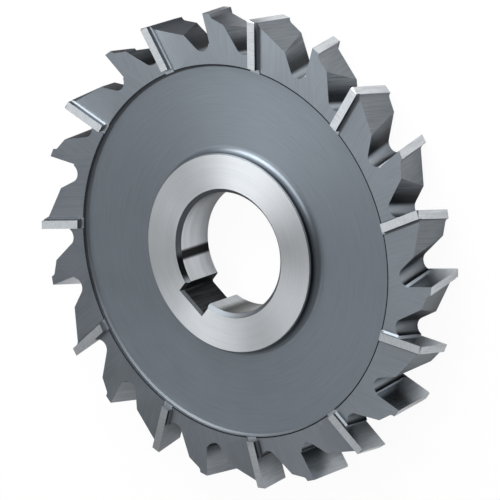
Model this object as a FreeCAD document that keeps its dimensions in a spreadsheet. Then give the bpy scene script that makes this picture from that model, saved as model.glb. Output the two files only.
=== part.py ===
import FreeCAD, Part
# Side and face milling cutter, 125 x 14 x 32 mm, straight keyed bore, 22 staggered teeth.
#
# One piece of high-speed steel.  The blank is turned (bore, hub, thinner web, toothed rim), the keyway
# is broached, and then each tooth is cut by the same five passes: gash, ground rake face, ground land
# with its step and flank, side land, side gash.  Eleven teeth lean one way and cut on the upper face;
# the eleven between them lean the other way and cut on the lower face.
# All lengths are in millimetres and all angles in degrees.
import math
import os

import Sketcher
from FreeCAD import Vector

# name, value, what it measures
DRIVING_SIZES = (
    ("outer_diameter", 125.0, "over the cutting edges, at mid width"),
    ("cutting_width", 14.0, "over the side cutting edges"),
    ("hub_width", 14.3, "over the two hub faces"),
    ("hub_diameter", 52.6, "over the hub wall; the clamped face ends at its edge break"),
    ("hub_edge_break", 0.3, "chamfer round each hub face"),
    ("hub_fillet", 1.7, "between hub wall and web"),
    ("web_thickness", 8.0, "recessed disc between hub and rim"),
    ("web_diameter", 98.0, "outside of the recess"),
    ("web_corner", 0.5, "bevel at the foot of the recess wall"),
    ("rim_width", 10.7, "over the rim faces between the side lands"),
    ("ledge_width", 11.0, "over the turned ledges inside the side teeth"),
    ("side_tooth_diameter", 100.0, "where the side teeth begin"),
    ("grinding_stock", 0.5, "left on the turned blank outside the finished teeth"),
    ("bore_diameter", 32.0, "arbor bore"),
    ("upper_bore_chamfer", 1.1, "at the upper mouth of the bore"),
    ("lower_bore_chamfer", 1.8, "at the lower mouth of the bore"),
    ("key_width", 8.0, "keyway"),
    ("key_height", 34.8, "keyway floor to the far side of the bore"),
    ("key_corner_radius", 0.6, "in the two floor corners of the keyway"),
    ("upper_key_chamfer", 0.7, "round the upper mouth of the keyway"),
    ("lower_key_chamfer", 1.4, "round the lower mouth of the keyway"),
    ("teeth_per_hand", 11, "teeth of each lean; twice as many in all"),
    ("tooth_phase", 23.7, "angle from +X to the first upper tooth's edge at mid width"),
    ("helix_angle", 10.5, "lean of each edge to the axis, alternately right and left"),
    ("rake_angle", 7.5, "rake face to the radius"),
    ("rake_height", 8.0, "ground rake face, from the edge inwards"),
    ("rake_grind", 0.25, "ground off the milled gash wall"),
    ("gash_root_diameter", 105.4, "over the gash floors"),
    ("gash_floor_radius", 2.4, "rounded gash floor"),
    ("gash_back_angle", 43.5, "back of the tooth ahead, to the radius"),
    ("land_width", 2.25, "ground land behind the edge"),
    ("land_relief", 8.0, "clearance angle of that land"),
    ("step_height", 1.0, "step down behind the land"),
    ("step_lean", 14.0, "step wall to the radius"),
    ("step_radius", 1.2, "between step wall and flank"),
    ("flank_angle", 28.7, "flank to the tangent at the edge"),
    ("side_land_width", 2.2, "ground land on the tooth's side"),
    ("side_relief", 2.0, "clearance angle of the side land"),
    ("side_foot_radius", 1.0, "behind the side land, down to the rim face"),
    ("side_gash_corner", 0.35, "bevel before the side land, down to the rim face"),
    ("corner_chamfer", 0.4, "45 degrees, where edge and side edge meet"),
)

doc = FreeCAD.newDocument("side_and_face_cutter")
sheet = doc.addObject("Spreadsheet::Sheet", "Sizes")
for row, (name, value, note) in enumerate(DRIVING_SIZES, start=1):
    sheet.set("A%d" % row, name)
    sheet.set("B%d" % row, str(value))
    sheet.set("C%d" % row, note)
    sheet.setAlias("B%d" % row, name)
doc.recompute()

body = doc.addObject("PartDesign::Body", "side_and_face_cutter")
body.Label = "side_and_face_cutter"


def origin_feature(role):
    """The body's own plane or axis with this role."""
    return next(o for o in body.Origin.OriginFeatures if o.Role == role)


def profile(name, plane, corners, placement=None):
    """A closed sketch through the given corners, each (x, y) or (x, y, fillet radius) as expressions."""
    sketch = body.newObject("Sketcher::SketchObject", name)
    sketch.AttachmentSupport = (origin_feature(plane), [""])
    sketch.MapMode = "FlatFace"
    if placement:
        sketch.setExpression("AttachmentOffset", placement)
    count = len(corners)
    turn = 2 * math.pi / count
    rough = [Vector(50 * math.cos(i * turn), 50 * math.sin(i * turn), 0) for i in range(count)]
    lines = [sketch.addGeometry(Part.LineSegment(rough[i], rough[(i + 1) % count]))
             for i in range(count)]
    for i, corner in enumerate(corners):
        sketch.addConstraint(Sketcher.Constraint("Coincident", lines[i - 1], 2, lines[i], 1))
        for kind, size, rough_size in (("DistanceX", corner[0], rough[i].x),
                                       ("DistanceY", corner[1], rough[i].y)):
            index = sketch.addConstraint(Sketcher.Constraint(kind, -1, 1, lines[i], 1, rough_size))
            datum = "corner%d_%s" % (i, kind[-1].lower())
            sketch.renameConstraint(index, datum)
            sketch.setExpression("Constraints." + datum, size)
    doc.recompute()
    for i, corner in enumerate(corners):
        if len(corner) > 2:
            round_corner(sketch, lines[i - 1], lines[i], "corner%d_radius" % i, corner[2])
    doc.recompute()
    return sketch


def round_corner(sketch, before, after, datum, radius):
    """Fillet between two lines that meet, with its radius bound to the sheet."""
    ahead, behind = sketch.Geometry[before], sketch.Geometry[after]
    start = ahead.EndPoint - (ahead.EndPoint - ahead.StartPoint) * 0.1
    end = behind.StartPoint + (behind.EndPoint - behind.StartPoint) * 0.1
    sketch.fillet(before, after, start, end, 0.2, True, True)
    arc = max(i for i, g in enumerate(sketch.Geometry) if isinstance(g, Part.ArcOfCircle))
    index = sketch.addConstraint(Sketcher.Constraint("Radius", arc, 0.2))
    sketch.renameConstraint(index, datum)
    sketch.setExpression("Constraints." + datum, radius)


THROUGH = "2 * Sizes.hub_width + 2 * Sizes.cutting_width"


def cut(name, sketch, length=None):
    """Pocket through the whole width, or, with a length, outwards from the sketch plane."""
    before = body.Tip.Shape.Volume
    pocket = body.newObject("PartDesign::Pocket", name)
    pocket.Profile = sketch
    pocket.Type = "Length"
    pocket.setExpression("Length", length or THROUGH)
    if length:
        pocket.Reversed = True
    else:
        pocket.SideType = "Symmetric"
    doc.recompute()
    if not pocket.Shape.Volume < before:
        raise RuntimeError(name + " removes nothing")
    return pocket


# The turned blank: half section of bore, hub, web and rim, with grinding stock left on the teeth.
BORE, HUB, WEB = "Sizes.bore_diameter / 2", "Sizes.hub_diameter / 2", "Sizes.web_diameter / 2"
BLANK = "Sizes.outer_diameter / 2 + Sizes.grinding_stock"
HUB_FACE, RIM_FACE = "Sizes.hub_width / 2", "Sizes.rim_width / 2"
BLANK_FACE = "Sizes.cutting_width / 2 + Sizes.grinding_stock"


def half_section(bore_chamfer):
    """From the mouth of the bore out to the stock on the teeth; heights are above mid width."""
    return (
        (BORE, HUB_FACE + " - " + bore_chamfer),
        (BORE + " + " + bore_chamfer, HUB_FACE),
        (HUB + " - Sizes.hub_edge_break", HUB_FACE),
        (HUB, HUB_FACE + " - Sizes.hub_edge_break"),
        (HUB, "Sizes.web_thickness / 2", "Sizes.hub_fillet"),
        (WEB + " - Sizes.web_corner", "Sizes.web_thickness / 2"),
        (WEB, "Sizes.web_thickness / 2 + Sizes.web_corner"),
        (WEB, "Sizes.ledge_width / 2"),
        ("Sizes.side_tooth_diameter / 2", "Sizes.ledge_width / 2"),
        ("Sizes.side_tooth_diameter / 2", BLANK_FACE),
        (BLANK, BLANK_FACE),
    )


upper_section = half_section("Sizes.upper_bore_chamfer")
lower_section = tuple((x, "-(%s)" % y, *rest)
                      for x, y, *rest in reversed(half_section("Sizes.lower_bore_chamfer")))
blank = body.newObject("PartDesign::Revolution", "turned_blank")
blank.Profile = profile("blank_section", "XZ_Plane", upper_section + lower_section)
blank.ReferenceAxis = (origin_feature("Z_Axis"), [""])
blank.Angle = 360
doc.recompute()

# The keyway is broached through the hub at -Y; its mouths are chamfered on both faces.
KEY_SIDE, KEY_FLOOR = "Sizes.key_width / 2", "-(Sizes.key_height - Sizes.bore_diameter / 2)"
keyway = cut("keyway", profile("keyway_outline", "XY_Plane", (
    (KEY_SIDE, "-Sizes.bore_diameter / 4"),
    ("-" + KEY_SIDE, "-Sizes.bore_diameter / 4"),
    ("-" + KEY_SIDE, KEY_FLOOR, "Sizes.key_corner_radius"),
    (KEY_SIDE, KEY_FLOOR, "Sizes.key_corner_radius"),
)))


def key_mouth(row, side):
    """The keyway's outline grown by its chamfer at the hub face and running in at 45 degrees."""
    chamfer = "Sizes.%s_key_chamfer" % row
    mouth_side, mouth_floor = KEY_SIDE + " + " + chamfer, KEY_FLOOR + " - " + chamfer
    mouth = body.newObject("PartDesign::Pocket", row + "_key_mouth")
    mouth.Profile = profile(row + "_key_mouth_outline", "XY_Plane", (
        (mouth_side, "-Sizes.bore_diameter / 4"),
        ("-(%s)" % mouth_side, "-Sizes.bore_diameter / 4"),
        ("-(%s)" % mouth_side, mouth_floor),
        (mouth_side, mouth_floor),
    ), "placement(vector(0; 0; %d * %s); rotation(0; %d; 0))" % (side, HUB_FACE, 90 - 90 * side))
    mouth.Type = "Length"
    mouth.setExpression("Length", chamfer)
    mouth.TaperAngle = -45
    doc.recompute()


key_mouth("upper", +1)
key_mouth("lower", -1)

# One tooth of either lean.  Its sketches look along the edge: x runs out along the radius through the
# edge at mid width, y runs forwards, the way the tooth moves when it cuts.
EDGE, HALF_WIDTH = "Sizes.outer_diameter / 2", "Sizes.cutting_width / 2"
CLEAR = "2 * Sizes.grinding_stock"
TOOTH_PITCH = "pi * Sizes.outer_diameter / (2 * Sizes.teeth_per_hand)"
RAKE_SLOPE, BACK_SLOPE = "tan(Sizes.rake_angle)", "tan(Sizes.gash_back_angle)"

# The gash is a V with a rounded floor: one wall along the rake face, the other the back of the tooth
# ahead.  The sharp bottom of that V lies below the floor by the geometry of a circle in a corner.
GASH_HALF = "(Sizes.gash_back_angle - Sizes.rake_angle) / 2"
V_DEPTH = ("Sizes.gash_root_diameter / 2 + Sizes.gash_floor_radius - Sizes.gash_floor_radius"
           " / sin(%s) * cos((Sizes.gash_back_angle + Sizes.rake_angle) / 2)" % GASH_HALF)


def gash_wall(x):
    """Height of the milled wall at x: the rake line with the grinding still on it."""
    return "(%s - %s) * %s + Sizes.rake_grind / cos(Sizes.rake_angle)" % (x, EDGE, RAKE_SLOPE)


BEYOND = "%s + %s" % (EDGE, CLEAR)
GASH = (
    (BEYOND, gash_wall("(%s)" % BEYOND)),
    (V_DEPTH, gash_wall("(%s)" % V_DEPTH), "Sizes.gash_floor_radius"),
    (BEYOND, "%s + (%s - (%s)) * %s" % (gash_wall("(%s)" % V_DEPTH), BEYOND, V_DEPTH, BACK_SLOPE)),
)
RAKE_FACE = (
    (BEYOND, "%s * %s" % (CLEAR, RAKE_SLOPE)),
    (EDGE + " - Sizes.rake_height", "-Sizes.rake_height * " + RAKE_SLOPE),
    (EDGE + " - Sizes.rake_height", "Sizes.gash_floor_radius / 2"),
    (BEYOND, "Sizes.gash_floor_radius / 2"),
)

# The land falls away from the edge, a step drops to the flank, and the flank runs out in the next gash.
LAND_END = EDGE + " - Sizes.land_width * tan(Sizes.land_relief)"
STEP_FOOT = "-(Sizes.land_width + Sizes.step_height * tan(Sizes.step_lean))"
FLANK_END = "-0.72 * " + TOOTH_PITCH
LAND_AND_FLANK = (
    (EDGE + " + tan(Sizes.land_relief)", "1"),
    (LAND_END, "-Sizes.land_width"),
    (LAND_END + " - Sizes.step_height", STEP_FOOT, "Sizes.step_radius"),
    ("%s - Sizes.step_height + (%s - (%s)) * tan(Sizes.flank_angle)"
     % (LAND_END, FLANK_END, STEP_FOOT), FLANK_END),
    ("%s + 2 * %s" % (EDGE, CLEAR), FLANK_END),
    ("%s + 2 * %s" % (EDGE, CLEAR), "1"),
)

# The side land and side gash are sketched across the tooth's side: x forwards, y along the axis.
# SIDE_LEAN is the rake face's angle to the radius where it meets the side plane.
SIDE_LEAN = "atan(%s / cos(Sizes.helix_angle))" % RAKE_SLOPE
SIDE_REACH = "1.12 * " + TOOTH_PITCH
RUN_IN = "(%s - Sizes.side_tooth_diameter / 2 + 10)" % EDGE
EDGE_SHIFT = "%s * tan(Sizes.helix_angle)" % HALF_WIDTH
UNDERCUT = "tan(Sizes.helix_angle) * cos(%s)" % SIDE_LEAN


def side_land(side):
    return (
        ("0.5", "%s * (%s + 0.5 * tan(Sizes.side_relief))" % (side, HALF_WIDTH)),
        ("-Sizes.side_land_width",
         "%s * (%s - Sizes.side_land_width * tan(Sizes.side_relief))" % (side, HALF_WIDTH)),
        ("-Sizes.side_land_width", "%s * %s" % (side, RIM_FACE), "Sizes.side_foot_radius"),
        ("-%s" % SIDE_REACH, "%s * %s" % (side, RIM_FACE)),
        ("-%s" % SIDE_REACH, "%s * (%s + %s)" % (side, HALF_WIDTH, CLEAR)),
        ("0.5", "%s * (%s + %s)" % (side, HALF_WIDTH, CLEAR)),
    )


def side_gash(side):
    return (
        ("%s * %s" % (CLEAR, UNDERCUT), "%s * (%s + %s)" % (side, HALF_WIDTH, CLEAR)),
        ("-(%s - %s - Sizes.side_gash_corner) * %s" % (HALF_WIDTH, RIM_FACE, UNDERCUT),
         "%s * (%s + Sizes.side_gash_corner)" % (side, RIM_FACE)),
        ("Sizes.side_gash_corner - (%s - %s) * %s" % (HALF_WIDTH, RIM_FACE, UNDERCUT),
         "%s * %s" % (side, RIM_FACE)),
        (SIDE_REACH, "%s * %s" % (side, RIM_FACE)),
        (SIDE_REACH, "%s * (%s + %s)" % (side, HALF_WIDTH, CLEAR)),
    )


def row_of_teeth(row, side, angle):
    """Every second tooth: side +1 cuts on the upper face, side -1 on the lower."""
    along_edge = ("placement(vector(0; 0; 0); rotation(%s; 0; %d * Sizes.helix_angle))"
                  % (angle, -side))
    start_x = "(%s - %s * cos(%s))" % (EDGE, RUN_IN, SIDE_LEAN)
    start_y = "(%s - %s * sin(%s))" % (EDGE_SHIFT, RUN_IN, SIDE_LEAN)
    across_side = ("placement(vector({x} * cos({a}) - {y} * sin({a}); {x} * sin({a}) + {y} * cos({a});"
                   " 0); rotation(({a}) * 1 deg + {lean} + 90 deg; 0 deg; 90 deg))"
                   .format(x=start_x, y=start_y, a=angle, lean=SIDE_LEAN))
    outwards = RUN_IN + " + 10"
    passes = [
        cut(row + "_gash", profile(row + "_gash_outline", "XY_Plane", GASH, along_edge)),
        cut(row + "_rake_face", profile(row + "_rake_outline", "XY_Plane", RAKE_FACE, along_edge)),
        cut(row + "_flank", profile(row + "_flank_outline", "XY_Plane", LAND_AND_FLANK, along_edge)),
        cut(row + "_side_land",
            profile(row + "_side_land_outline", "XY_Plane", side_land(side), across_side), outwards),
        cut(row + "_side_gash",
            profile(row + "_side_gash_outline", "XY_Plane", side_gash(side), across_side), outwards),
    ]
    teeth = body.newObject("PartDesign::PolarPattern", row + "_teeth")
    teeth.Originals = passes
    teeth.Axis = (origin_feature("Z_Axis"), [""])
    teeth.Angle = 360
    teeth.setExpression("Occurrences", "Sizes.teeth_per_hand")
    body.Tip = teeth
    doc.recompute()
    return teeth


row_of_teeth("upper", +1, "Sizes.tooth_phase")
row_of_teeth("lower", -1, "Sizes.tooth_phase + 180 / Sizes.teeth_per_hand")

# Where edge and side edge meet, the sharp corner is taken off at 45 degrees on both sides.
corner = body.newObject("PartDesign::Groove", "corner_chamfer")
corner.Profile = profile("corner_chamfer_outline", "XZ_Plane", (
    (EDGE + " - Sizes.corner_chamfer - 1", HALF_WIDTH + " + 1"),
    (EDGE + " + 1", HALF_WIDTH + " - Sizes.corner_chamfer - 1"),
    (EDGE + " + 1", HALF_WIDTH + " + 1"),
))
corner.ReferenceAxis = (origin_feature("Z_Axis"), [""])
corner.Angle = 360
both_corners = body.newObject("PartDesign::Mirrored", "both_corner_chamfers")
both_corners.Originals = [corner]
both_corners.MirrorPlane = (origin_feature("XY_Plane"), [""])
body.Tip = both_corners

# At rest the cutter lies on its lower hub face, on the plane z = 0, with its axis on Z.
body.setExpression("Placement.Base.z", HUB_FACE)
doc.recompute()

for item in doc.Objects:
    if "Invalid" in item.State or "Error" in item.State:
        raise RuntimeError("%s failed: %s" % (item.Name, item.State))
if body.Shape.isNull() or not body.Shape.isValid() or len(body.Shape.Solids) != 1:
    raise RuntimeError("the cutter isn't one valid solid")

os.makedirs("parts", exist_ok=True)
body.Shape.exportStep("parts/%s.step" % body.Label)
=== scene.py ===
import math

import bmesh
import bpy
from mathutils import Matrix, Vector


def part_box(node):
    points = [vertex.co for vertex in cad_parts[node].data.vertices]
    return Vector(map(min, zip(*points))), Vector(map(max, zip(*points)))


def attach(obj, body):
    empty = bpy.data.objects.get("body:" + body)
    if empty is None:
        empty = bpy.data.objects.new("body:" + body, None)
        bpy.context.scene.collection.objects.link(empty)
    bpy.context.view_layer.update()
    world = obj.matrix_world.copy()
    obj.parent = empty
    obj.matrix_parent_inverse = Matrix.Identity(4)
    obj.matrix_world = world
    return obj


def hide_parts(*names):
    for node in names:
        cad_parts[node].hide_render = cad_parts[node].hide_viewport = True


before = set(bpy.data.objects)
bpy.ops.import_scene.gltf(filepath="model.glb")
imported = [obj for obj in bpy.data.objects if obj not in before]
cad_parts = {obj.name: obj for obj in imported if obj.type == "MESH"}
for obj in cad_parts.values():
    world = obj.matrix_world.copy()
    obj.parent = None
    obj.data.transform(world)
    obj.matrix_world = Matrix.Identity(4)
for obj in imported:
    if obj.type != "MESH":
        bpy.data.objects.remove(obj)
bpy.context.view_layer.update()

# The turned blank: one disc of high-speed steel, turned all over and then hardened. It has a bore,
# a hub that stands proud on both faces for the arbor's collars, a thinner web and a thick rim.
# Radii and heights are in millimetres, heights from mid width.
MM = 0.001
NODE = "side_and_face_cutter"
HUB_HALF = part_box(NODE)[1].z / MM / 2
EDGE = 62.5
HALF_WIDTH = 7.0
BORE, HUB, WEB = 16.0, 26.3, 49.0
WEB_HALF = 4.0
LEDGE_HALF = 5.5
TOOTH_START = 50.0
STOCK = 0.5
UPPER_BORE_CHAMFER, LOWER_BORE_CHAMFER = 1.1, 1.8
HUB_EDGE_BREAK = 0.3
HUB_FILLET = 1.7
WEB_CORNER = 0.5
STEPS_ROUND = 352
ARC_STEP = math.radians(9)
# The marks on the teeth change from tooth to tooth, so the finishes need to know how the teeth stand.
TEETH_PER_HAND = 11
UPPER_START = 23.7


class Wire:
    """A node's output. Arithmetic on it adds Math nodes."""

    def __init__(self, graph, socket):
        self.graph = graph
        self.socket = socket

    def maths(self, operation, *values):
        return self.graph.node("ShaderNodeMath", {"operation": operation}, dict(enumerate(values)))

    def __add__(self, other):
        return self.maths("ADD", self, other)

    def __sub__(self, other):
        return self.maths("SUBTRACT", self, other)

    def __rsub__(self, other):
        return self.maths("SUBTRACT", other, self)

    def __mul__(self, other):
        return self.maths("MULTIPLY", self, other)

    def __truediv__(self, other):
        return self.maths("DIVIDE", self, other)

    def __rtruediv__(self, other):
        return self.maths("DIVIDE", other, self)

    def __pow__(self, other):
        return self.maths("POWER", self, other)

    __radd__ = __add__
    __rmul__ = __mul__

    def between(self, low, high):
        """0 below low, 1 above high and smooth from one to the other."""
        return self.graph.node("ShaderNodeMapRange", {"interpolation_type": "SMOOTHSTEP"},
                               {"Value": self, "From Min": low, "From Max": high})


class Graph:
    """The nodes of a material, of the world or of a Geometry Nodes tree."""

    def __init__(self, tree):
        self.tree = tree

    def plug(self, value, socket):
        if isinstance(value, Wire):
            self.tree.links.new(value.socket, socket)
        else:
            socket.default_value = value

    def node(self, kind, settings, sockets, output=0):
        """Any node: its settings are made first, then its sockets get their values or wires."""
        made = self.tree.nodes.new(kind)
        for name, value in settings.items():
            setattr(made, name, value)
        for name, value in sockets.items():
            self.plug(value, made.inputs[name])
        return Wire(self, made.outputs[output])

    def vector(self, x, y, z):
        return self.node("ShaderNodeCombineXYZ", {}, {"X": x, "Y": y, "Z": z})

    def noise(self, vector, detail):
        return self.node("ShaderNodeTexNoise", {"noise_dimensions": "3D"},
                         {"Vector": vector, "Scale": 1.0, "Detail": detail})

    def mix(self, factor, first, second):
        """From one colour to another."""
        return self.node("ShaderNodeMix", {"data_type": "RGBA"}, {0: factor, 6: first, 7: second}, 2)

    def place(self):
        """Object coordinates in millimetres, as three wires."""
        coordinates = self.node("ShaderNodeTexCoord", {}, {}, "Object")
        split = [self.node("ShaderNodeSeparateXYZ", {}, {"Vector": coordinates}, axis) for axis in "XYZ"]
        return [wire * (1 / MM) for wire in split]

    def marks(self):
        """The tool's own coordinates on the face that it left: across its marks and along them."""
        uv = self.node("ShaderNodeUVMap", {"uv_map": "marks"}, {})
        return [self.node("ShaderNodeSeparateXYZ", {}, {"Vector": uv}, axis) for axis in "XY"]


def new_material(name):
    """A new material, the graph of its nodes, and its surface node."""
    material = bpy.data.materials.new(name)
    material.use_nodes = True
    return material, Graph(material.node_tree), material.node_tree.nodes["Principled BSDF"]


def grey(level, cold):
    """A steel colour, from a grey of 0 to 255 and how much more blue and less red it has."""
    return tuple((level * (1 + tint) / 255) ** 2.2 for tint in (-cold, 0, cold)) + (1,)


def steel(name, dark, light, roughness, across, along, depth, fine, blotch=9.0, turned=False, cold=0.04,
          brushed=0.0, grain=0.25, painted_patches=()):
    """Bare tool steel with tool marks, cloudy between the greys dark and light. In millimetres, across
    is the spacing of the marks, along their length, depth their height, fine the spacing of the
    finest and blotch the size of the clouds. Turned marks run round the axis, the others follow the
    tool. brushed is how far they stretch a highlight, and grain which way: 0.25 for marks round the
    axis, 0 for marks along the radius. Each patch is painted light or shade on the steel: a function
    that says where it is, and its grey."""
    material, graph, surface = new_material(name)
    x, y, z = graph.place()
    if turned:
        cut = (x * x + y * y) ** 0.5 + z * 0.9
        run_x, run_y = x / along, y / along
    else:
        cut, run = graph.marks()
        turns = y.maths("ARCTAN2", y, x) - math.radians(UPPER_START)
        # No two teeth have the same marks.
        tooth = y.maths("FLOOR", turns * (TEETH_PER_HAND / math.pi)) * 3.7
        run_x, run_y = run / along + tooth, tooth
    wide = graph.noise(graph.vector(cut / across, run_x, run_y), 3.0)
    thin = graph.noise(graph.vector(cut / fine, run_x * 2.2, run_y * 2.2), 2.0)
    cloud = graph.noise(graph.vector(x / blotch, y / blotch, z / blotch), 4.0)
    streak = (wide * 0.55 + thin * 0.2 + cloud * 0.25).between(0.36, 0.64)
    colour = graph.mix(streak, grey(dark, cold), grey(light, cold))
    # Each patch paints a highlight, shade or reflection into the colour.
    for where, level in painted_patches:
        colour = graph.mix(where(x, y, z, cut), colour, grey(level, cold))
    relief = graph.node("ShaderNodeBump", {},
                        {"Strength": 1.0, "Distance": depth * MM, "Height": wide * 0.5 + thin * 0.5},
                        "Normal")
    graph.plug(colour, surface.inputs["Base Color"])
    graph.plug(thin * 0.10 + cloud * 0.12 + (roughness - 0.11), surface.inputs["Roughness"])
    graph.plug(relief, surface.inputs["Normal"])
    surface.inputs["Metallic"].default_value = 1.0
    surface.inputs["Anisotropic"].default_value = brushed
    surface.inputs["Anisotropic Rotation"].default_value = grain
    return material


def painted_reflection_stripes(*places):
    """Painted reflections: soft bands across a turned face, at each azimuth in degrees and so many mm to
    each side.
    """
    def where(x, y, z, cut):
        total = 0
        for azimuth, half_width in places:
            a = math.radians(azimuth)
            near = (x * math.cos(a) + y * math.sin(a)).between(0, 6)
            aside = x * math.sin(a) - y * math.cos(a)
            edge = (aside * aside).between(0.3 * half_width ** 2, 1.5 * half_width ** 2)
            total = near * (1 - edge) + total
        return total
    return where


def painted_fillet_highlight(x, y, z, cut):
    """The fillet at the hub's foot, painted as a brighter band for a highlight."""
    return 1 - (x * x + y * y).between((HUB + 0.7 * HUB_FILLET) ** 2, (HUB + 1.1 * HUB_FILLET) ** 2)


hub_face = steel("hub_ground_round", dark=179, light=187, roughness=0.34, across=0.30, along=22.0,
                 depth=0.0002, fine=0.12, turned=True, cold=0.02, brushed=0.8)
# Painted reflections: two dark bands across the ground bore.
bore_wall = steel("bore_ground", dark=190, light=204, roughness=0.16, across=1.4, along=22.0,
                  depth=0.0002, fine=0.25, turned=True, cold=0.02,
                  painted_patches=((painted_reflection_stripes((229.5, 1.35), (311, 4.4)), 34),))
# Painted reflection: a dark band across the turned bevels.
bevel_cut = steel("turned_bevel", dark=104, light=120, roughness=0.52, across=0.8, along=20.0,
                  depth=0.0004, fine=0.25, turned=True, painted_patches=((painted_reflection_stripes((240, 3.4)), 30),))
# Painted shade: the hub wall's turned steel is painted much darker than the other turned walls.
hub_wall = steel("turned_hub_wall", dark=66, light=92, roughness=0.22, across=0.8, along=24.0,
                 depth=0.0004, fine=0.25, turned=True)
# Painted highlight: the fillet at the hub's foot is painted brighter than the web.
web_face = steel("web_turned_satin", dark=112, light=118, roughness=0.44, across=0.22, along=9.0,
                 depth=0.0003, fine=0.12, turned=True, cold=0.058, brushed=0.4,
                 painted_patches=((painted_fillet_highlight, 125),))
recess_wall = steel("turned_recess_wall", dark=132, light=148, roughness=0.46, across=0.8, along=30.0,
                    depth=0.0004, fine=0.25, turned=True)
recess_corner = steel("turned_recess_corner", dark=108, light=124, roughness=0.60, across=0.8,
                      along=30.0, depth=0.0004, fine=0.25, turned=True)


def rounded(corners):
    """The points of a closed outline, where a corner (x, y, radius) becomes an arc, and for each
    point the number of the corner that it belongs to."""
    points, owners = [], []
    count = len(corners)
    for i, (x, y, *radius) in enumerate(corners):
        here = Vector((x, y))
        if not radius:
            points.append(here)
            owners.append(i)
            continue
        back = (Vector(corners[i - 1][:2]) - here).normalized()
        ahead = (Vector(corners[(i + 1) % count][:2]) - here).normalized()
        half = back.angle(ahead) / 2
        centre = here + (back + ahead).normalized() * (radius[0] / math.sin(half))
        spoke = here + back * (radius[0] / math.tan(half)) - centre
        turn = -math.copysign(math.pi - 2 * half, back.cross(ahead))
        steps = math.ceil(abs(turn) / ARC_STEP)
        for k in range(steps + 1):
            points.append(centre + Matrix.Rotation(turn * k / steps, 2) @ spoke)
            owners.append(i)
    return points, owners


def solid(name, points, faces, finishes, owners, marks=None):
    """A closed mesh from points in millimetres. owners says which of the finishes each face has, and
    marks are the tool's coordinates at each face's corners."""
    mesh = bpy.data.meshes.new(name)
    mesh.from_pydata([p * MM for p in points], [], faces)
    uv = mesh.uv_layers.new(name="marks")
    for face, corners in zip(mesh.polygons, marks or [[(0, 0)] * len(face) for face in faces]):
        for loop, corner in zip(face.loop_indices, corners):
            uv.data[loop].uv = corner
    slots = list(dict.fromkeys(finishes))
    for material in slots:
        mesh.materials.append(material)
    for face, owner in zip(mesh.polygons, owners):
        face.material_index = slots.index(finishes[owner])
    made = bmesh.new()
    made.from_mesh(mesh)
    bmesh.ops.recalc_face_normals(made, faces=made.faces)
    made.to_mesh(mesh)
    made.free()
    piece = bpy.data.objects.new(name, mesh)
    bpy.context.scene.collection.objects.link(piece)
    return piece


def revolved(name, corners, finishes):
    """A section of corners (radius, height) turned once round the axis."""
    section, owners = rounded(corners)
    count = len(section)
    points, faces = [], []
    for step in range(STEPS_ROUND):
        angle = 2 * math.pi * step / STEPS_ROUND
        after = (step + 1) % STEPS_ROUND
        points += [Vector((p.x * math.cos(angle), p.x * math.sin(angle), p.y)) for p in section]
        for i in range(count):
            j = (i + 1) % count
            faces.append((step * count + i, after * count + i, after * count + j, step * count + j))
    return solid(name, points, faces, finishes, owners * STEPS_ROUND)


def half_section(bore_chamfer):
    """Corners from the mouth of the bore out to the stock on the teeth, and the finish after each."""
    return (
        ((BORE, HUB_HALF - bore_chamfer), bevel_cut),
        ((BORE + bore_chamfer, HUB_HALF), hub_face),
        ((HUB - HUB_EDGE_BREAK, HUB_HALF), bevel_cut),
        ((HUB, HUB_HALF - HUB_EDGE_BREAK), hub_wall),
        ((HUB, WEB_HALF, HUB_FILLET), web_face),
        ((WEB - WEB_CORNER, WEB_HALF), recess_corner),
        ((WEB, WEB_HALF + WEB_CORNER), recess_wall),
        ((WEB, LEDGE_HALF), recess_wall),
        ((TOOTH_START, LEDGE_HALF), recess_wall),
        ((TOOTH_START, HALF_WIDTH + STOCK), recess_wall),
        ((EDGE + STOCK, HALF_WIDTH + STOCK), recess_wall),
    )


upper = half_section(UPPER_BORE_CHAMFER)
lower = [((x, -y, *rest), finish) for (x, y, *rest), finish in half_section(LOWER_BORE_CHAMFER)]
# Going back down the lower half, each stretch takes the finish of the corner that it leads to.
lower_corners = [corner for corner, finish in reversed(lower)]
lower_finishes = [finish for corner, finish in reversed(lower)][1:] + [bevel_cut]
cutter = revolved(NODE + "_finished", [corner for corner, finish in upper] + lower_corners,
                  [finish for corner, finish in upper] + lower_finishes)


# The keyway: a slot broached through the hub for the arbor's key, rough and dark inside, with both
# mouths bevelled. Its tool, like every tool that cuts right through, reaches ALL_THROUGH both ways.
KEY_HALF, KEY_FLOOR = 4.0, -18.8
KEY_CORNER = 0.6
UPPER_KEY_CHAMFER, LOWER_KEY_CHAMFER = 0.7, 1.4
ALL_THROUGH = 28.0
broached = steel("keyway_broached", dark=34, light=66, roughness=0.42, across=0.5, along=14.0,
                 depth=0.006, fine=0.2, blotch=4.0)


def prism(name, corners, low, high, place, finish, crosswise=False):
    """A tool's profile pushed along its path from low to high, in the frame that place gives. Its
    marks run along the path, or crosswise."""
    outline, owners = rounded(corners)
    count = len(outline)
    points = [place @ Vector((p.x, p.y, h)) for h in (low, high) for p in outline]
    faces, marks, run = [], [], 0.0
    for i in range(count):
        j = (i + 1) % count
        further = run + (outline[j] - outline[i]).length
        faces.append((i, j, count + j, count + i))
        corner_marks = [(run, low), (further, low), (further, high), (run, high)]
        marks.append([(b, a) for a, b in corner_marks] if crosswise else corner_marks)
        run = further
    faces += [tuple(reversed(range(count))), tuple(range(count, 2 * count))]
    marks += [[(0, 0)] * count] * 2
    return solid(name, points, faces, [finish], [0] * len(faces), marks)


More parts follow.
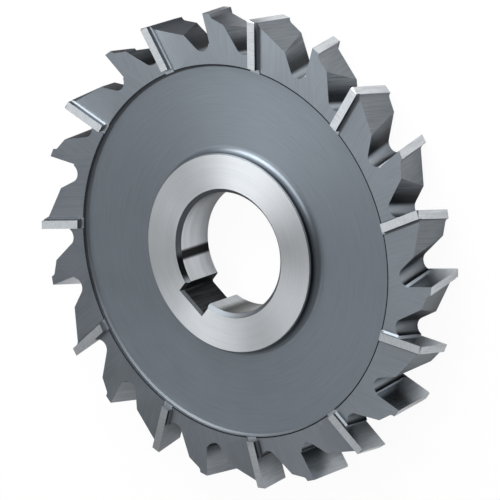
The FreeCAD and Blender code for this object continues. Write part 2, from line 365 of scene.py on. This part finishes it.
def key_mouth(name, side, chamfer):
    """A wedge that widens the keyway's mouth at 45 degrees, made to reach past the hub face."""
    rings = []
    for grown in (0, 2 * chamfer):
        height = side * (HUB_HALF - chamfer + grown)
        half, floor = KEY_HALF + grown, KEY_FLOOR - grown
        rings += [Vector((x, y, height)) for x, y in
                  ((half, -BORE / 2), (-half, -BORE / 2), (-half, floor), (half, floor))]
    faces = [(0, 1, 2, 3), (4, 5, 6, 7), (0, 1, 5, 4), (1, 2, 6, 5), (2, 3, 7, 6), (3, 0, 4, 7)]
    return solid(name, rings, faces, [broached], [0] * len(faces))


keyway = prism("keyway", (
    (KEY_HALF, -BORE / 2),
    (-KEY_HALF, -BORE / 2),
    (-KEY_HALF, KEY_FLOOR, KEY_CORNER),
    (KEY_HALF, KEY_FLOOR, KEY_CORNER),
), -ALL_THROUGH, ALL_THROUGH, Matrix.Identity(4), broached)
passes = [
    ("keyway", keyway, broached, "once"),
    ("upper key mouth", key_mouth("upper_mouth", 1, UPPER_KEY_CHAMFER), broached, "once"),
    ("lower key mouth", key_mouth("lower_mouth", -1, LOWER_KEY_CHAMFER), broached, "once"),
]


# The teeth: every tooth is cut by the same passes, and each pass leaves its own finish. The gash and
# the flank are milled and stay dark from hardening; rake face, lands and side lands are ground bright.
# x runs out along the radius through the edge at mid width, y forwards, as the tooth moves.
HELIX, RAKE, BACK = math.radians(10.5), math.radians(7.5), math.radians(43.5)
RAKE_HEIGHT, RAKE_GRIND = 8.0, 0.25
GASH_ROOT, GASH_RADIUS = 52.7, 2.4
LAND_WIDTH, LAND_RELIEF = 2.25, math.radians(8)
STEP_HEIGHT, STEP_LEAN, STEP_RADIUS = 1.0, math.radians(14), 1.2
FLANK_ANGLE = math.radians(28.7)
RIM_HALF = 5.35
SIDE_LAND_WIDTH, SIDE_RELIEF = 2.2, math.radians(2)
FOOT_RADIUS, SIDE_GASH_CORNER = 1.0, 0.55
CORNER_CHAMFER = 0.4
TOOTH_PITCH = math.pi * EDGE / TEETH_PER_HAND
# How far the tools reach past what they cut. The side gash stops SHY of the rake face, so that its
# wheel doesn't touch what is ground.
CLEAR = 2 * STOCK
LEAD, SIDE_LEAD, LAP = 1.0, 0.5, 0.2
RUN_IN, RUN_OUT = 10.0, 10.0
FLANK_REACH, SIDE_REACH = 0.72 * TOOTH_PITCH, 1.12 * TOOTH_PITCH
SHY = 0.01

gash_leg = (EDGE + CLEAR - GASH_ROOT) / math.cos(RAKE)


def painted_gash_corner_shade(x, y, z, cut):
    """Painted shade where the gash's walls run into its rounded floor."""
    return (cut.between(gash_leg - 4.6, gash_leg - 1.2)
            * (1 - cut.between(gash_leg + 4.4, gash_leg + 8.6)))


def painted_gash_floor_highlight(x, y, z, cut):
    """The rounded floor itself, painted brighter as a highlight."""
    return (cut.between(gash_leg - 1.5, gash_leg - 0.3)
            * (1 - cut.between(gash_leg + 1.9, gash_leg + 3.2)))


def painted_inner_edge_shade(x, y, z, cut):
    """The rim's broken inner edge, painted dark as shade."""
    return 1 - ((x * x + y * y) ** 0.5).between(WEB + 0.24, WEB + 0.40)


# Painted light on the gash: shade in the corners beside its rounded floor, and a highlight on the floor
# itself.
gash_finish = steel("gash_milled", dark=84, light=112, roughness=0.36, across=0.45, along=14.0,
                    depth=0.002, fine=0.15, painted_patches=((painted_gash_corner_shade, 44), (painted_gash_floor_highlight, 150)))
rake_finish = steel("rake_ground", dark=196, light=222, roughness=0.22, across=0.35, along=10.0,
                    depth=0.0006, fine=0.12, cold=0.03)
flank_finish = steel("flank_milled", dark=110, light=126, roughness=0.34, across=0.3, along=9.0,
                     depth=0.0016, fine=0.12)
land_finish = steel("land_ground", dark=176, light=200, roughness=0.28, across=0.5, along=10.0,
                    depth=0.0010, fine=0.15, cold=0.02)
# Painted shade: a dark line along the rim's inner edge.
rim_finish = steel("rim_ground", dark=111, light=119, roughness=0.38, across=0.25, along=12.0,
                   depth=0.0003, fine=0.12, cold=0.05, painted_patches=((painted_inner_edge_shade, 34),))
side_land_finish = steel("side_land_ground", dark=154, light=172, roughness=0.40, across=0.2,
                         along=3.0, depth=0.0004, fine=0.12, cold=0.025, brushed=0.6, grain=0.92)


def gash_wall(x):
    """Height at x of the milled gash wall, which has the rake face's grinding still on it."""
    return (x - EDGE) * math.tan(RAKE) + RAKE_GRIND / math.cos(RAKE)


half_v = (BACK - RAKE) / 2
v_bottom = GASH_ROOT + GASH_RADIUS - GASH_RADIUS / math.sin(half_v) * math.cos((BACK + RAKE) / 2)
beyond = EDGE + CLEAR
gash = (
    (beyond, gash_wall(beyond)),
    (v_bottom, gash_wall(v_bottom), GASH_RADIUS),
    (beyond, gash_wall(v_bottom) + (beyond - v_bottom) * math.tan(BACK)),
)
rake_face = (
    (beyond, CLEAR * math.tan(RAKE)),
    (EDGE - RAKE_HEIGHT, -RAKE_HEIGHT * math.tan(RAKE)),
    (EDGE - RAKE_HEIGHT, GASH_RADIUS / 2),
    (beyond, GASH_RADIUS / 2),
)
land_end = EDGE - LAND_WIDTH * math.tan(LAND_RELIEF)
step_foot = -(LAND_WIDTH + STEP_HEIGHT * math.tan(STEP_LEAN))
well_beyond = EDGE + 2 * CLEAR
flank = (
    (well_beyond, -LAND_WIDTH + (well_beyond - land_end) * math.tan(STEP_LEAN)),
    (land_end - STEP_HEIGHT, step_foot, STEP_RADIUS),
    (land_end - STEP_HEIGHT - (FLANK_REACH + step_foot) * math.tan(FLANK_ANGLE), -FLANK_REACH),
    (well_beyond, -FLANK_REACH),
)
land = (
    (EDGE + LEAD * math.tan(LAND_RELIEF), LEAD),
    (land_end + (LAND_WIDTH + step_foot) * math.tan(LAND_RELIEF), step_foot),
    (well_beyond, step_foot),
    (well_beyond, LEAD),
)

side_lean = math.atan(math.tan(RAKE) / math.cos(HELIX))
undercut = math.tan(HELIX) * math.cos(side_lean)
side_run = EDGE - TOOTH_START + RUN_IN


def side_passes(side):
    """Relief behind the side land, the land itself and the gash before it: x forwards, y upwards."""
    top = side * (HALF_WIDTH + CLEAR)
    rim = side * RIM_HALF
    land_height = HALF_WIDTH - SIDE_LAND_WIDTH * math.tan(SIDE_RELIEF)
    gash_height = HALF_WIDTH - RIM_HALF - SIDE_GASH_CORNER
    relief = (
        (-SIDE_LAND_WIDTH, top),
        (-SIDE_LAND_WIDTH, rim, FOOT_RADIUS),
        (-SIDE_REACH, rim),
        (-SIDE_REACH, top),
    )
    side_land = (
        (SIDE_LEAD, side * (HALF_WIDTH + SIDE_LEAD * math.tan(SIDE_RELIEF))),
        (-SIDE_LAND_WIDTH - LAP, side * (land_height - LAP * math.tan(SIDE_RELIEF))),
        (-SIDE_LAND_WIDTH - LAP, top),
        (SIDE_LEAD, top),
    )
    side_gash = (
        (CLEAR * undercut + SHY, top),
        (-gash_height * undercut + SHY, rim + side * SIDE_GASH_CORNER),
        (SIDE_GASH_CORNER - (HALF_WIDTH - RIM_HALF) * undercut, rim),
        (SIDE_REACH, rim),
        (SIDE_REACH, top),
    )
    return (("relief", relief, rim_finish, False), ("side land", side_land, side_land_finish, True),
            ("side gash", side_gash, rim_finish, False))


for row, side in (("upper", 1), ("lower", -1)):
    along_edge = Matrix.Rotation(-side * HELIX, 4, "X")
    start = Vector((EDGE, HALF_WIDTH * math.tan(HELIX), 0))
    start -= side_run * Vector((math.cos(side_lean), math.sin(side_lean), 0))
    across_side = (Matrix.Translation(start) @ Matrix.Rotation(side_lean + math.pi / 2, 4, "Z")
                   @ Matrix.Rotation(math.pi / 2, 4, "X"))
    for name, profile, finish in (("gash", gash, gash_finish), ("rake face", rake_face, rake_finish),
                                  ("flank", flank, flank_finish), ("land", land, land_finish)):
        tool = prism(row + " " + name, profile, -ALL_THROUGH, ALL_THROUGH, along_edge, finish)
        passes.append((row + " " + name, tool, finish, row))
    for name, profile, finish, crosswise in side_passes(side):
        tool = prism(row + " " + name, profile, 0, side_run + RUN_OUT, across_side, finish, crosswise)
        passes.append((row + " " + name, tool, finish, row))

for name, side in (("upper corners", 1), ("lower corners", -1)):
    ring = revolved(name, (
        (EDGE - CORNER_CHAMFER - CLEAR, side * (HALF_WIDTH + CLEAR)),
        (EDGE + CLEAR, side * (HALF_WIDTH - CORNER_CHAMFER - CLEAR)),
        (EDGE + CLEAR, side * (HALF_WIDTH + CLEAR)),
    ), [land_finish] * 3)
    passes.append((name, ring, land_finish, "once"))


def tree_with(name, inputs):
    """The graph of a Geometry Nodes tree from mesh to mesh, the wires of its named inputs, and the
    socket of its result."""
    tree = bpy.data.node_groups.new(name, "GeometryNodeTree")
    for label, kind in (("Mesh", "Geometry"), *inputs):
        tree.interface.new_socket(label, in_out="INPUT", socket_type="NodeSocket" + kind)
    tree.interface.new_socket("Mesh", in_out="OUTPUT", socket_type="NodeSocketGeometry")
    graph = Graph(tree)
    given = {socket.name: Wire(graph, socket) for socket in tree.nodes.new("NodeGroupInput").outputs}
    return graph, given, tree.nodes.new("NodeGroupOutput").inputs["Mesh"]


def pass_tree():
    """One pass round the axis: the tool is set at equal angles, becomes real mesh in its own finish,
    and is taken off the blank."""
    graph, given, result = tree_with("one_pass_round_the_axis", (
        ("Tool", "Object"), ("Finish", "Material"), ("Count", "Int"), ("First angle", "Float")))
    tool = graph.node("GeometryNodeObjectInfo", {}, {"Object": given["Tool"]}, "Geometry")
    stations = graph.node("GeometryNodeMeshLine", {}, {"Count": given["Count"], "Offset": (0, 0, 0)})
    number = graph.node("GeometryNodeInputIndex", {}, {})
    turn = graph.vector(0, 0, number * (2 * math.pi / given["Count"]) + given["First angle"])
    copies = graph.node("GeometryNodeInstanceOnPoints", {},
                        {"Points": stations, "Instance": tool, "Rotation": turn})
    real = graph.node("GeometryNodeRealizeInstances", {}, {"Geometry": copies})
    coated = graph.node("GeometryNodeSetMaterial", {}, {"Geometry": real, "Material": given["Finish"]})
    taken_off = graph.node("GeometryNodeMeshBoolean", {"operation": "DIFFERENCE", "solver": "EXACT"},
                           {"Mesh 1": given["Mesh"], "Mesh 2": coated})
    graph.plug(taken_off, result)
    return graph.tree


def job_tree():
    """The whole job: the turned blank goes through every pass in the order in which it is cut, and
    the bore is ground last."""
    graph, given, result = tree_with("staggered_teeth", (
        ("Teeth per hand", "Int"), ("Upper teeth start at", "Float"), ("Lower teeth start at", "Float"),
        ("Bore radius", "Float")))
    one_pass = pass_tree()
    work = given["Mesh"]
    for name, tool, finish, row in passes:
        sockets = {"Mesh": work, "Tool": tool, "Finish": finish, "Count": 1}
        if row != "once":
            sockets["Count"] = given["Teeth per hand"]
            sockets["First angle"] = given[row.capitalize() + " teeth start at"]
        work = graph.node("GeometryNodeGroup", {"node_tree": one_pass, "label": name}, sockets)
    # Floors at one height meet to less than a thousandth of a millimetre, and there they close up.
    closed = graph.node("GeometryNodeMergeByDistance", {}, {"Geometry": work, "Distance": 0.001 * MM})
    place = graph.node("GeometryNodeInputPosition", {}, {})
    level = graph.node("ShaderNodeVectorMath", {"operation": "MULTIPLY"}, {0: place, 1: (1, 1, 0)})
    radius = graph.node("ShaderNodeVectorMath", {"operation": "LENGTH"}, {0: level}, "Value")
    in_the_bore = graph.node("FunctionNodeCompare", {"operation": "LESS_THAN"},
                             {"A": radius, "B": given["Bore radius"] + 0.01 * MM})
    real = graph.node("GeometryNodeRealizeInstances", {}, {"Geometry": closed})
    ground = graph.node("GeometryNodeSetMaterial", {},
                        {"Geometry": real, "Selection": in_the_bore, "Material": bore_wall})
    graph.plug(ground, result)
    return graph.tree


cutting = cutter.modifiers.new("cutting", "NODES")
cutting.node_group = job_tree()
job_sizes = {
    "Teeth per hand": TEETH_PER_HAND,
    "Upper teeth start at": math.radians(UPPER_START),
    "Lower teeth start at": math.radians(UPPER_START + 180 / TEETH_PER_HAND),
    "Bore radius": BORE * MM,
}
for socket in cutting.node_group.interface.items_tree:
    if socket.in_out == "INPUT" and socket.name in job_sizes:
        cutting[socket.identifier] = job_sizes[socket.name]
bpy.context.view_layer.update()
evaluated = cutter.evaluated_get(bpy.context.evaluated_depsgraph_get())
finished = bpy.data.meshes.new_from_object(evaluated)
cutter.modifiers.clear()
blank_mesh, cutter.data = cutter.data, finished
for mesh in [blank_mesh] + [tool.data for name, tool, finish, row in passes]:
    bpy.data.meshes.remove(mesh)
finished.name = cutter.name

# The finished cutter lies on its lower hub face. Its flats meet in crisp edges, and only the steps of
# the round stretches are smoothed.
CRISP = math.radians(24)
finished.transform(Matrix.Translation((0, 0, HUB_HALF * MM)))
finished.shade_smooth()
finished.set_sharp_from_angle(angle=CRISP)
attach(cutter, "root")
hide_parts(NODE)


# The studio: the cutter lies under four soft boxes, on pale paper that keeps its shadow. Polished
# faces see painted dark reflections on the paper beyond two sides, and a painted glow round the
# cutter and in its bore. The paper's shading is laid out in millimetres, as the cutter is, and the
# studio itself in metres.
DARK_SIDE, DARK_FRONT = math.radians(170), math.radians(280)
PAPER, PAINTED_DARK_REFLECTION = (0.9, 0.9, 0.9, 1), (0.16, 0.16, 0.17, 1)
TO_CAMERA, THROUGH = 0.95, 0.35
PAINTED_GLOW_ROUND, PAINTED_GLOW_IN_BORE = 0.4, 0.5
FLOOR_HALF = 3
floor_corners = [(x * FLOOR_HALF, y * FLOOR_HALF, 0) for x, y in ((-1, -1), (1, -1), (1, 1), (-1, 1))]
floor_mesh = bpy.data.meshes.new("floor")
floor_mesh.from_pydata(floor_corners, [], [(0, 1, 2, 3)])
floor = bpy.data.objects.new("floor", floor_mesh)
bpy.context.scene.collection.objects.link(floor)


def ray(graph, kind):
    """1 for rays of this kind."""
    return graph.node("ShaderNodeLightPath", {}, {}, "Is %s Ray" % kind)


def white_paper():
    """Matt paper. How white it is to each kind of ray is mixed in as plain light. To glossy rays it is
    painted dark beyond two sides and glows round the cutter and in its bore, as painted reflections
    and painted light.
    """
    material, graph, surface = new_material("white_floor")
    x, y, z = graph.place()
    radius = (x * x + y * y) ** 0.5
    # Painted reflections: to glossy rays the paper is darker beyond two sides.
    beside = (x * math.cos(DARK_SIDE) + y * math.sin(DARK_SIDE)).between(44, 57)
    before = (x * math.cos(DARK_FRONT) + y * math.sin(DARK_FRONT)).between(34, 58) * 0.8
    dark = beside.maths("MAXIMUM", beside, before)
    # Painted light: to glossy rays the paper glows round the cutter and in its bore, though it is no
    # lamp.
    painted_glow = radius.between(54, 64) * (1 - dark) * PAINTED_GLOW_ROUND + (1 - radius.between(9, 17)) * PAINTED_GLOW_IN_BORE
    in_gloss = ray(graph, "Glossy")
    graph.plug(graph.mix(in_gloss * dark, PAPER, PAINTED_DARK_REFLECTION), surface.inputs["Base Color"])
    surface.inputs["Roughness"].default_value = 0.9
    white = ray(graph, "Camera") * TO_CAMERA + ray(graph, "Transmission") * THROUGH + in_gloss * painted_glow
    glow = graph.node("ShaderNodeEmission", {}, {"Color": (1, 1, 1, 1), "Strength": 1.0})
    whitened = graph.node("ShaderNodeMixShader", {},
                          {0: white, 1: Wire(graph, surface.outputs["BSDF"]), 2: glow})
    graph.plug(whitened, graph.tree.nodes["Material Output"].inputs["Surface"])
    return material


def towards(azimuth, elevation):
    """The direction at an azimuth from +X and an elevation, both in degrees."""
    a, e = math.radians(azimuth), math.radians(elevation)
    return Vector((math.cos(e) * math.cos(a), math.cos(e) * math.sin(a), math.sin(e)))


def softbox(name, azimuth, elevation, distance, width, watts):
    """A square area lamp that looks at the cutter."""
    lamp = bpy.data.lights.new(name, "AREA")
    lamp.size = width
    lamp.energy = watts
    box = bpy.data.objects.new(name, lamp)
    bpy.context.scene.collection.objects.link(box)
    way = towards(azimuth, elevation)
    box.location = way * distance
    box.rotation_euler = way.to_track_quat("Z", "Y").to_euler()


floor_mesh.materials.append(white_paper())
softbox("key", 209, 61.6, 0.42, 0.17, 0.37)
softbox("side", 272, 61, 0.42, 0.12, 0.13)
softbox("fill", 145, 24, 0.55, 0.42, 4.0)
softbox("front", 100, 34, 0.5, 0.32, 1.2)

# The room: soft light from all round, white to the camera, and dimmer on the side that the
# photograph was taken from.
AZIMUTH, ELEVATION = 61.95, 50.908
BRIGHT, DIM = 0.40, 0.22
world = bpy.data.worlds.new("studio")
world.use_nodes = True
bpy.context.scene.world = world
background = world.node_tree.nodes["Background"]
background.inputs["Color"].default_value = (1, 1, 1, 1)
room = Graph(world.node_tree)
outwards = towards(AZIMUTH, ELEVATION)
direction = room.node("ShaderNodeTexCoord", {}, {}, "Generated")
facing = room.node("ShaderNodeVectorMath", {"operation": "DOT_PRODUCT"},
                   {0: direction, 1: outwards}, "Value")
light = BRIGHT - facing.between(0.5, 0.95) * (BRIGHT - DIM)
seen_white = light.maths("MAXIMUM", ray(room, "Camera"), ray(room, "Transmission"))
room.plug(light + seen_white * (1 - light), background.inputs["Strength"])

# The camera: it looks at the cutter from where the photograph was taken, and is rolled as the cutter
# was held there.
ROLL = 108.544
DISTANCE = 1.17692
FIELD = 6.305
AIM = Vector((1.247, 0.415, HUB_HALF - 0.775)) * MM
camera_data = bpy.data.cameras.new("camera")
camera_data.sensor_fit = "HORIZONTAL"
camera_data.angle = math.radians(FIELD)
camera = bpy.data.objects.new("camera", camera_data)
bpy.context.scene.collection.objects.link(camera)
camera.location = AIM + outwards * DISTANCE
upright = outwards.to_track_quat("Z", "Y")
camera.rotation_mode = "QUATERNION"
camera.rotation_quaternion = upright @ Matrix.Rotation(-math.radians(ROLL), 4, "Z").to_quaternion()
bpy.context.scene.camera = camera
bpy.context.scene.view_settings.view_transform = "Standard"
